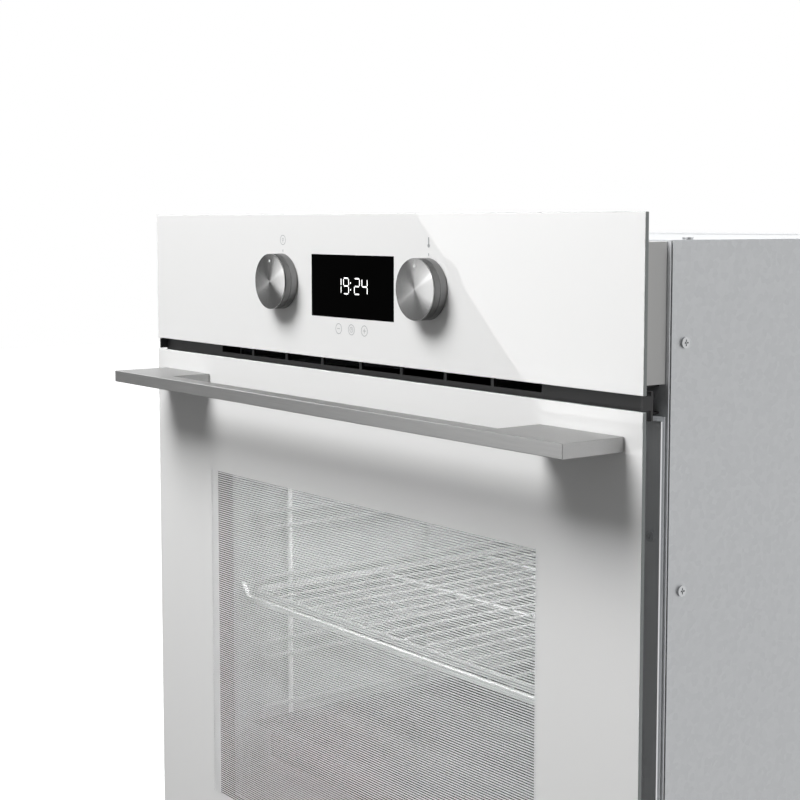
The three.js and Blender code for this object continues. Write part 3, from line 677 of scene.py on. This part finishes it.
def knobPieces(name, body):
    low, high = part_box(name + "_knob_cap")
    centre = Vector(((low.x + high.x) / 2, 0, (low.z + high.z) / 2))
    radius = (high.x - low.x) / 2
    core = radius - knob["grooveDepth"]
    step = knob["step"]
    face = low.y
    rim = face + knob["rim"]
    start = face + knob["start"]
    bm = bmesh.new()
    addLathe(bm, [(0, face), (radius - 3.5 * step, face), (radius - step, face + step),
                  (radius, face + 3 * step), (radius, rim), (core, rim), (core, start + step),
                  (0, start + step)], centre, knob["sides"])
    cap = keepMesh(name + "KnobCap", bm, [materials["spunSteel"]], 35)
    ridesOn(cap, body, "brushed_steel", name + "_knob_cap")
    # the ring behind the groove: a sunken band for the ridges, then a plain stretch
    start += 2 * step
    bandEnd = start + knob["band"]
    bandRadius = radius - knob["bandDepth"]
    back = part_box(name + "_knob_ring")[1].y
    bm = bmesh.new()
    addLathe(bm, [(knob["bore"], start), (bandRadius, start), (bandRadius, bandEnd),
                  (radius, bandEnd + step), (radius, back - 8 * step), (radius - 6 * step, back),
                  (knob["bore"], back)], centre, knob["sides"])
    ring = keepMesh(name + "KnobRing", bm, [materials["ringSteel"]], 35)
    ridesOn(ring, body, "brushed_steel", name + "_knob_ring")
    ridges = runTree(name + "KnobRidges", knobRidges, {
        "Count": knob["ridges"], "Radius": bandRadius + 0.00001, "Ridge": knob["ridge"],
        "Centre": (centre.x, (start + bandEnd) / 2 - step, centre.z), "Material": materials["ringSteel"]})
    ridesOn(ridges, body, "brushed_steel")
    front = face - knob["dotRise"]
    end = face + knob["dotDepth"]
    bm = bmesh.new()
    addLathe(bm, [(0, front), (knob["dotRadius"], front), (knob["dotRadius"], end), (0, end)],
             centre + Vector((0, 0, knob["dotDrop"])), knob["dotSides"])
    dot = keepMesh(name + "KnobDot", bm, [materials["whitePrint"]])
    ridesOn(dot, body, "white_plastic")


knobPieces("function", "function_knob")
knobPieces("temperature", "temperature_knob")
print("knobs made")


# the plate handle, one outline with softened edges
handleCut = {"foot": 0.075, "bar": 0.015, "round": 0.0004}


def doorHandle():
    low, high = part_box("door_handle")
    foot = handleCut["foot"]
    bar = low.y + handleCut["bar"]
    outline = [(low.x, low.y), (high.x, low.y), (high.x, high.y), (high.x - foot, high.y),
               (high.x - foot, bar), (low.x + foot, bar), (low.x + foot, high.y), (low.x, high.y)]
    bm = bmesh.new()
    bottomRing = [bm.verts.new((x, y, low.z)) for x, y in outline]
    topRing = [bm.verts.new((x, y, high.z)) for x, y in outline]
    bm.faces.new(bottomRing)
    bm.faces.new(topRing[::-1])
    for i in range(len(outline)):
        j = (i + 1) % len(outline)
        bm.faces.new((bottomRing[i], bottomRing[j], topRing[j], topRing[i]))
    handle = keepMesh("doorHandle", bm, [materials["handleSteel"]])
    bevelPiece(handle, handleCut["round"], 3, 40)
    ridesOn(applied(handle), "door", "brushed_steel", "door_handle")


doorHandle()
print("handle made")


# clock digits and printed symbols
digit = {"height": 0.0114, "width": 0.0065, "stroke": 0.00088, "gap": 0.0004,
         "places": (-0.0196, -0.0099, 0.0039, 0.0135), "rise": 0.0005,
         "colon": -0.0010, "dot": 0.0006, "dotLevels": (0.27, 0.70)}
segmentsOf = {"1": "bc", "2": "abged", "4": "fgbc", "9": "abcdfg"}
printBack = frontLow.y - 0.00003
printFront = printBack - 0.00004


def segmentOutline(letter, x, z):
    w, h, s, g = (digit[k] for k in ("width", "height", "stroke", "gap"))
    level = {"a": h, "g": h / 2, "d": 0}
    if letter in level:
        mid = z + level[letter]
        left = x + g
        right = x + w - g
        return [(left, mid), (left + s / 2, mid + s / 2), (right - s / 2, mid + s / 2), (right, mid),
                (right - s / 2, mid - s / 2), (left + s / 2, mid - s / 2)]
    side = x + (w if letter in "bc" else 0)
    start = z + (h / 2 if letter in "bf" else 0)
    end = start + h / 2
    t = s * 0.42
    return [(side, start + g), (side + t, start + g + t), (side + t, end - g - t), (side, end - g),
            (side - t, end - g - t), (side - t, start + g + t)]


def clockDigits():
    base = displayTop - display["height"] / 2 + digit["rise"] - digit["height"] / 2
    bm = bmesh.new()
    for text, x in zip("1924", digit["places"]):
        for letter in segmentsOf[text]:
            addPrism(bm, segmentOutline(letter, x, base), printFront, printBack)
    for level in digit["dotLevels"]:
        z = base + digit["height"] * level
        turns = [math.pi * i / 6 for i in range(12)]
        x, radius = digit["colon"], digit["dot"]
        dot = [(x + radius * math.cos(a), z + radius * math.sin(a)) for a in turns]
        addPrism(bm, dot, printFront, printBack)
    digits = keepMesh("clockDigits", bm, [materials["digits"]])
    ridesOn(digits, "casing", "black_plastic")


symbol = {
    "line": 0.00045, "thin": 0.0004, "thick": 0.0009,
    "keyDrop": 0.0850, "keyStep": 0.0164, "keyRadius": 0.0040, "sign": 0.0018, "clock": 0.0021,
    "iconDrop": 0.0201, "lampRadius": 0.0039, "tickDrop": 0.0284, "tick": 0.0009,
}


def addStroke(bm, start, end, width=symbol["line"]):
    along = (Vector(end) - Vector(start)).normalized()
    across = Vector((-along.y, along.x)) * width / 2
    corners = [Vector(start) - across, Vector(end) - across, Vector(end) + across, Vector(start) + across]
    addPrism(bm, [tuple(c) for c in corners], printFront, printBack)


def addRing(bm, x, z, radius, width=symbol["line"], steps=28):
    for i in range(steps):
        a = 2 * math.pi * i / steps
        b = 2 * math.pi * (i + 1) / steps
        outline = [(x + r * math.cos(t), z + r * math.sin(t))
                   for r, t in ((radius, a), (radius, b), (radius - width, b), (radius - width, a))]
        addPrism(bm, outline, printFront, printBack)


def panelSymbols():
    top = frontHigh.z
    thin = symbol["thin"]
    keyZ = top - symbol["keyDrop"]
    minusX, plusX = -symbol["keyStep"], symbol["keyStep"]
    sign = symbol["sign"]
    bm = bmesh.new()
    for x in (minusX, 0, plusX):
        addRing(bm, x, keyZ, symbol["keyRadius"])
    addStroke(bm, (minusX - sign, keyZ), (minusX + sign, keyZ))
    addStroke(bm, (plusX - sign, keyZ), (plusX + sign, keyZ))
    addStroke(bm, (plusX, keyZ - sign), (plusX, keyZ + sign))
    addRing(bm, 0, keyZ, symbol["clock"], thin, 20)  # a small clock face with two hands
    addStroke(bm, (0, keyZ), (0, keyZ + 0.0014), thin)
    addStroke(bm, (0, keyZ), (0.0010, keyZ), thin)
    knobBoxes = [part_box(n + "_knob_cap") for n in ("function", "temperature")]
    leftX, rightX = [(low.x + high.x) / 2 for low, high in knobBoxes]
    iconZ = top - symbol["iconDrop"]
    tickZ = top - symbol["tickDrop"]
    addRing(bm, leftX, iconZ, symbol["lampRadius"])  # a lamp in a ring
    addRing(bm, leftX, iconZ + 0.0004, 0.0012, thin, 16)
    addStroke(bm, (leftX, iconZ - 0.0006), (leftX, iconZ - 0.0022), thin)
    addRing(bm, rightX, iconZ - 0.0022, 0.0013, 0.0013, 18)  # a thermometer: bulb and stem
    addRing(bm, rightX, iconZ + 0.0030, 0.0006, 0.0006, 14)
    addStroke(bm, (rightX, iconZ - 0.0016), (rightX, iconZ + 0.0030), 0.0011)
    for x in (leftX, rightX):
        addStroke(bm, (x, tickZ - symbol["tick"]), (x, tickZ + symbol["tick"]), symbol["thick"])
    symbols = keepMesh("panelSymbols", bm, [materials["greyPrint"]])
    ridesOn(symbols, "casing", "grey_plastic")


clockDigits()
panelSymbols()
print("digits and symbols made")


# racks and shelf
def paintFrom(bm, first, material):
    # the faces made since the given count take another finish
    bm.faces.ensure_lookup_table()
    for face in bm.faces[first:]:
        face.material_index = material


rack = {
    "rail": 0.0020, "railX": 0.225, "levels": 5, "lowest": 0.1457, "step": 0.058, "rise": 0.014,
    "straight": 0.012, "tip": 0.0025, "bend": 0.0045, "end": 0.002,
    "post": 0.0021, "postX": 0.2284, "frontPost": -0.1565, "posts": (0.0, 0.140), "postEnd": 0.0005,
}


def sideRack(name, side):
    low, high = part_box("side_rack_" + name)
    x = side * rack["railX"]
    start = low.y + rack["straight"]
    tip = low.y + rack["tip"]
    back = high.y - rack["end"]
    bm = bmesh.new()
    for level in range(rack["levels"]):
        z = rack["lowest"] + rack["step"] * level
        upper = z + rack["rise"]
        addTube(bm, [(x, back, z), (x, start, z)], rack["rail"], 8)
        addTube(bm, [(x, back, upper), (x, start, upper)], rack["rail"], 8)
        nose = roundedPath([(x, start, z), (x, tip, z), (x, tip, upper), (x, start, upper)], rack["bend"])
        addTube(bm, nose, rack["rail"], 8)

    def addPost(y):
        ends = (low.z + rack["postEnd"], high.z - rack["postEnd"])
        addTube(bm, [(side * rack["postX"], y, z) for z in ends], rack["post"], 10)

    # the front post alone is painted near-white, a painted highlight; the other posts stay chrome
    before = len(bm.faces)
    addPost(rack["frontPost"])
    paintFrom(bm, before, 1)
    for y in rack["posts"]:
        addPost(y)
    finishes = [materials["chrome"], materials["paintedHighlightWire"]]
    piece = keepMesh("sideRack" + name.capitalize(), bm, finishes, 50)
    ridesOn(piece, "casing", "chrome_wire", "side_rack_" + name)


shelf = {
    "drop": 0.0083, "front": 0.006, "back": 0.003, "edge": 0.222, "corner": 0.010, "frame": 0.0028,
    "crossRods": (-0.070, 0.050), "crossRod": 0.0027, "rods": 17, "rodStep": 0.025, "rod": 0.0014,
    "rodRise": 0.0038, "rodBend": 0.003, "railFront": 0.0003, "railBack": 0.0040,
}


def wireShelf():
    low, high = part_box("wire_shelf")
    z = high.z - shelf["drop"]
    frontY = low.y + shelf["front"]
    backY = high.y - shelf["back"]
    edge = shelf["edge"]
    bm = bmesh.new()
    loop = roundedPath([(0, backY, z), (-edge, backY, z), (-edge, frontY, z), (0, frontY, z),
                        (edge, frontY, z), (edge, backY, z), (0, backY, z)], shelf["corner"])
    addTube(bm, loop[:-1], shelf["frame"], 10, closed=True)
    for y in shelf["crossRods"]:
        addTube(bm, [(-edge, y, z), (edge, y, z)], shelf["crossRod"], 10)
    rodZ = z + shelf["rodRise"]
    for i in range(shelf["rods"]):
        x = (i - shelf["rods"] // 2) * shelf["rodStep"]
        rod = roundedPath([(x, frontY - 0.0012, low.z + 0.001), (x, frontY - 0.0012, rodZ),
                           (x, frontY + 0.010, rodZ), (x, backY, rodZ)], shelf["rodBend"])
        addTube(bm, rod, shelf["rod"], 8)
    # the flat front rail, its ends turned up beside the cavity walls, painted near-white as a painted
    # highlight on the chrome wire
    before = len(bm.faces)
    railZ = low.z + 0.0001
    foot = [(0.2235, railZ), (0.2255, railZ + 0.0010), (0.2312, railZ + 0.0135)]
    crown = [(0.2222, railZ + 0.0042), (0.2240, railZ + 0.0050), (0.2318, railZ + 0.0150)]
    foot = [(-x, height) for x, height in foot[::-1]] + foot
    crown = [(-x, height) for x, height in crown[::-1]] + crown
    addPrism(bm, foot + crown[::-1], low.y + shelf["railFront"], low.y + shelf["railBack"])
    paintFrom(bm, before, 1)
    piece = keepMesh("wireShelf", bm, [materials["chrome"], materials["paintedHighlightWire"]], 40)
    ridesOn(piece, "shelf", "chrome_wire", "wire_shelf")


sideRack("left", -1)
sideRack("right", 1)
wireShelf()
print("racks and shelf made")


# sheet and moulded parts with softened edges
def softened(node, body, slot, finish, width):
    source = nodes[node]
    bm = bmesh.new()
    bm.from_mesh(source.data)
    bm.transform(source.matrix_world)
    bmesh.ops.remove_doubles(bm, verts=bm.verts[:], dist=1e-6)
    bmesh.ops.dissolve_limit(bm, angle_limit=math.radians(1), verts=bm.verts[:], edges=bm.edges[:])
    name = "".join(part.capitalize() for part in node.split("_"))
    piece = keepMesh("soft" + name, bm, [materials[finish]])
    bevelPiece(piece, width, 2, 50)
    ridesOn(applied(piece), body, slot, node)


ventWall = {"inner": 0.2265, "outer": 0.2275, "front": 0.0095, "margin": 0.0015}


def ventEndWalls():
    low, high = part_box("vent_grille")
    bm = bmesh.new()
    for side in (-1, 1):
        xs = sorted((side * ventWall["inner"], side * ventWall["outer"]))
        addBox(bm, (xs[0], low.y + ventWall["front"], low.z + ventWall["margin"]),
               (xs[1], high.y, high.z - ventWall["margin"]))
    ridesOn(keepMesh("ventEndWalls", bm, [materials["greyPlastic"]]), "casing", "grey_plastic")


softened("vent_grille", "casing", "grey_plastic", "greyPlastic", 0.0003)
ventEndWalls()
softened("baking_tray", "tray", "black_enamel", "tray", 0.0008)
softened("terminal_box", "casing", "black_plastic", "blackPlastic", 0.0012)
softened("fan_cover", "casing", "grey_enamel", "liner", 0.0004)


cavity = {"reach": 0.235, "bottom": 0.085, "top": 0.435, "corner": 0.014, "wall": 0.0008,
          "flange": 0.015, "flangeCorner": 0.006, "lip": 0.0015, "backBend": 0.008, "backTurn": 0.0023}


def cavityHoop(bm, y, growth, radius):
    # one closed ring of the cavity's section, grown outwards by a margin
    x = cavity["reach"] + growth - radius
    z0 = cavity["bottom"] - growth + radius
    z1 = cavity["top"] + growth - radius
    hoop = []
    for cx, cz, start in ((x, z1, 0), (-x, z1, 90), (-x, z0, 180), (x, z0, 270)):
        for i in range(9):
            angle = math.radians(start + 90 * i / 8)
            hoop.append(bm.verts.new((cx + radius * math.cos(angle), y, cz + radius * math.sin(angle))))
    return hoop


def cavityLiner():
    # a drawn box with rounded corners and a flange round its mouth
    low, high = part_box("cavity_liner")
    wall, corner, lip = cavity["wall"], cavity["corner"], cavity["lip"]
    bend, turn = cavity["backBend"], cavity["backTurn"]
    flange = (cavity["flange"], cavity["flangeCorner"])
    mouth = low.y
    back = high.y - wall
    bm = bmesh.new()
    hoops = [(mouth, *flange), (mouth, lip, corner), (mouth + lip, 0, corner), (back - bend, 0, corner),
             (back - turn, -turn, corner), (back, -bend, corner), (high.y, -bend, corner),
             (back - bend, wall, corner + wall), (mouth + wall, wall, corner + wall),
             (mouth + wall, *flange)]
    rings = [cavityHoop(bm, *hoop) for hoop in hoops]
    inner, outer = rings[:6], rings[6:]
    pairs = [*zip(inner, inner[1:]), *zip(outer, outer[1:]), (outer[-1], inner[0])]
    for first, second in pairs:
        for i in range(len(first)):
            j = (i + 1) % len(first)
            bm.faces.new((first[i], first[j], second[j], second[i]))
    bm.faces.new(inner[-1])
    bm.faces.new(outer[0])
    piece = keepMesh("cavityLiner", bm, [materials["liner"]], 40)
    ridesOn(piece, "casing", "grey_enamel", "cavity_liner")


cavityLiner()
print("sheet parts made")


# screws with a cross slot, one row at a time by Geometry Nodes
screw = {"sides": 20, "slotLength": 0.0040, "slotWidth": 0.0009, "slotDepth": 0.0016, "slotRise": 0.0008}


def screwTree():
    group, given, result = newGeometryTree("screwRow", [
        ("Count", "NodeSocketInt", 2), ("Start", "NodeSocketVector", (0.0, 0.0, 0.0)),
        ("Step", "NodeSocketVector", (0.0, 0.0, 0.1)), ("Turn", "NodeSocketVector", (0.0, 0.0, 0.0)),
        ("Radius", "NodeSocketFloat", 0.0035), ("Head", "NodeSocketFloat", 0.0014),
        ("Material", "NodeSocketMaterial", None)])
    head = addNode(group, "GeometryNodeMeshCylinder")
    head.inputs["Vertices"].default_value = screw["sides"]
    length, width, depth = screw["slotLength"], screw["slotWidth"], screw["slotDepth"]
    blades = [addNode(group, "GeometryNodeMeshCube") for _ in range(2)]
    blades[0].inputs["Size"].default_value = (length, width, depth)
    blades[1].inputs["Size"].default_value = (width, length, depth)
    lift = [addNode(group, "GeometryNodeTransform") for _ in range(2)]
    carve = addNode(group, "GeometryNodeMeshBoolean", operation="DIFFERENCE")
    turn = addNode(group, "GeometryNodeTransform")
    row = addNode(group, "GeometryNodeMeshLine", mode="OFFSET")
    put = addNode(group, "GeometryNodeInstanceOnPoints")
    real = addNode(group, "GeometryNodeRealizeInstances")
    paint = addNode(group, "GeometryNodeSetMaterial")
    wires(group, (given, "Radius", head, "Radius"), (given, "Head", head, "Depth"), (head, 0, carve, 0))
    for blade, up in zip(blades, lift):
        up.inputs["Translation"].default_value = (0, 0, screw["slotRise"])
        wires(group, (blade, 0, up, "Geometry"), (up, 0, carve, 1))
    wires(group, (carve, 0, turn, "Geometry"), (given, "Turn", turn, "Rotation"),
          (given, "Count", row, "Count"), (given, "Start", row, "Start Location"),
          (given, "Step", row, "Offset"), (row, 0, put, "Points"), (turn, 0, put, "Instance"),
          (put, 0, real, 0), (real, 0, paint, "Geometry"), (given, "Material", paint, "Material"),
          (paint, 0, result, "Geometry"))
    return group


screwRow = screwTree()


# how many, the first one on the right side, the step to the next, and the way the heads look
screwRows = {
    "trimScrews": (2, (0.285, -0.2349, 0.120), (0, 0, 0.280), "front"),
    "frameScrews": (2, (0.2575, -0.2137, 0.060), (0, 0, 0.398), "front"),
    "rearScrews": (4, (0.2787, 0.294, 0.050), (0, 0, 0.155), "side"),
    "frontScrews": (4, (0.2787, -0.200, 0.050), (0, 0, 0.155), "side"),
    "lidScrews": (4, (0.2700, -0.190, 0.5787), (0, 0.150, 0), "top"),
    "coverScrews": (2, (0.192, 0.1853, 0.110), (0, 0, 0.283), "front"),
}
for sideName, side in (("Left", -1), ("Right", 1)):
    turns = {"front": (math.pi / 2, 0, 0), "side": (0, side * math.pi / 2, 0), "top": (0, 0, 0)}
    for rowName, (count, (x, y, z), step, facing) in screwRows.items():
        row = runTree(rowName + sideName, screwRow, {
            "Count": count, "Start": (side * x, y, z), "Step": step, "Turn": turns[facing],
            "Material": materials["screwSteel"]})
        ridesOn(row, "casing", "zinc_steel")
print("screws made")


# light and camera
studio = {"world": 0.20, "backdrop": 0.95, "backdropEdge": 0.35, "floorGlow": 0.93, "card": 1.9}
# place, aim, size and power
lamps = {
    "key": ((-0.36, -1.326, 1.958), (-0.02, -0.25, 0.45), (1.20, 0.92), 51),
    "side": ((3.2, 0.6, 1.6), (0.28, 0.05, 0.3), (1.6, 1.8), 20),
    "ground": ((-1.2, 3.2, 3.4), (-1.2, 3.2, 0.0), (5.5, 5.0), 80),
    "ovenLamp": ((0, -0.05, 0.425), (0, -0.05, 0.1), (0.34, 0.30), 3.5),
    "glint": ((0.45, -2.2, 1.65), (0.09, -0.26, 0.543), (0.26, 0.26), 44),
    "edgeGlow": ((-2.05, -0.5, 1.75), (0.0, -0.3, 0.46), (1.3, 0.8), 15),
}


def areaLight(name, place, aim, size, power):
    data = bpy.data.lights.new(name, "AREA")
    data.shape = "RECTANGLE"
    data.size, data.size_y = size
    data.energy = power
    lamp = bpy.data.objects.new(name, data)
    lamp.location = place
    lamp.rotation_mode = "QUATERNION"
    lamp.rotation_quaternion = (Vector(aim) - Vector(place)).to_track_quat("-Z", "Y")
    lamp.visible_camera = False
    lamp.visible_transmission = False
    lamp.visible_glossy = name in ("ground", "glint", "edgeGlow")
    lamp.visible_diffuse = name not in ("glint", "edgeGlow")
    bpy.context.scene.collection.objects.link(lamp)


world = bpy.data.worlds.new("studioWorld")
world.use_nodes = True
bpy.context.scene.world = world
world.cycles_visibility.transmission = False
worldTree = world.node_tree
ambient = worldTree.nodes["Background"]
ambient.inputs["Color"].default_value = (1, 1, 1, 1)
backdrop = addNode(worldTree, "ShaderNodeBackground")
backdrop.inputs["Color"].default_value = (1, 1, 1, 1)
eye = addNode(worldTree, "ShaderNodeLightPath")
pick = addNode(worldTree, "ShaderNodeMixShader")
# what shines see: a pale backdrop behind the oven, a darker room in front of it
towards = addNode(worldTree, "ShaderNodeTexCoord")
parts = addNode(worldTree, "ShaderNodeSeparateXYZ")
fall = addNode(worldTree, "ShaderNodeMapRange")
fall.inputs["From Max"].default_value = studio["backdropEdge"]
fall.inputs["To Min"].default_value = studio["world"]
fall.inputs["To Max"].default_value = studio["backdrop"]
choose = addNode(worldTree, "ShaderNodeMix", data_type="FLOAT")
choose.inputs[2].default_value = studio["world"]
wires(worldTree, (towards, "Generated", parts, 0), (parts, 1, fall, "Value"),
      (eye, "Is Glossy Ray", choose, 0), (fall, 0, choose, 3), (choose, 0, ambient, "Strength"),
      (eye, "Is Camera Ray", pick, 0), (ambient, 0, pick, 1), (backdrop, 0, pick, 2))
worldTree.links.new(pick.outputs[0], worldTree.nodes["World Output"].inputs["Surface"])

for lampName, settings in lamps.items():
    areaLight(lampName, *settings)

view = {"place": (0.95365, -0.92316, 0.5892), "turn": 53.23, "tilt": -4.98,
        "lens": 71.5635, "sensor": 36, "shift": -0.05, "clip": 0.05}
# where the card's corners show in the plane of the glass, and how many times further off the card is
card = {"reach": 4, "corners": [
    (0.2302, 0.4520), (0.0345, 0.6350), (0.0345, 0.7400), (0.6200, 0.7400), (0.6200, 0.4520)]}


def softBox():
    # a pale card to the left: its slanted edge is what draws the diagonal in the glass fronts
    x, y, z = view["place"]
    mirroredEye = Vector((x, 2 * frontLow.y - y, z))
    bm = bmesh.new()
    spots = [Vector((cx, frontLow.y, cz)) for cx, cz in card["corners"]]
    bm.faces.new([bm.verts.new(mirroredEye + (spot - mirroredEye) * card["reach"]) for spot in spots])
    cloth = keepMesh("softBox", bm, [glowMaterial("softBoxCloth", (1.0, 1.0, 1.0), studio["card"])])
    for kind in ("camera", "diffuse", "transmission", "shadow", "volume_scatter"):
        setattr(cloth, "visible_" + kind, False)


softBox()

cameraData = bpy.data.cameras.new("productCamera")
cameraData.sensor_width = view["sensor"]
cameraData.lens = view["lens"]
cameraData.shift_y = view["shift"]
cameraData.clip_start = view["clip"]
camera = bpy.data.objects.new("productCamera", cameraData)
camera.location = view["place"]
camera.rotation_euler = (math.radians(90 + view["tilt"]), 0, math.radians(view["turn"]))
bpy.context.scene.collection.objects.link(camera)
bpy.context.scene.camera = camera

floorSize = 6
floorGap = 0.0005
floorMaterial = grainMaterial(
    "paleFloor", grey(0.50), grey(0.54), (0.5, 0.6), fine=80.0, depth=0.0,
    Emission_Color=(1, 1, 1, 1), Emission_Strength=studio["floorGlow"], Specular_IOR_Level=0.1)
bm = bmesh.new()
bmesh.ops.create_grid(bm, x_segments=1, y_segments=1, size=floorSize)
floor = keepMesh("paleFloor", bm, [floorMaterial])
floor.location = (0, 0, cadBox[0].z - floorGap)
floor.visible_glossy = False
floor.visible_transmission = False
floor.visible_diffuse = False  # no light comes back up, so the shade under the handle stays deep
bpy.context.scene.view_settings.view_transform = "Standard"
print("light and camera made")
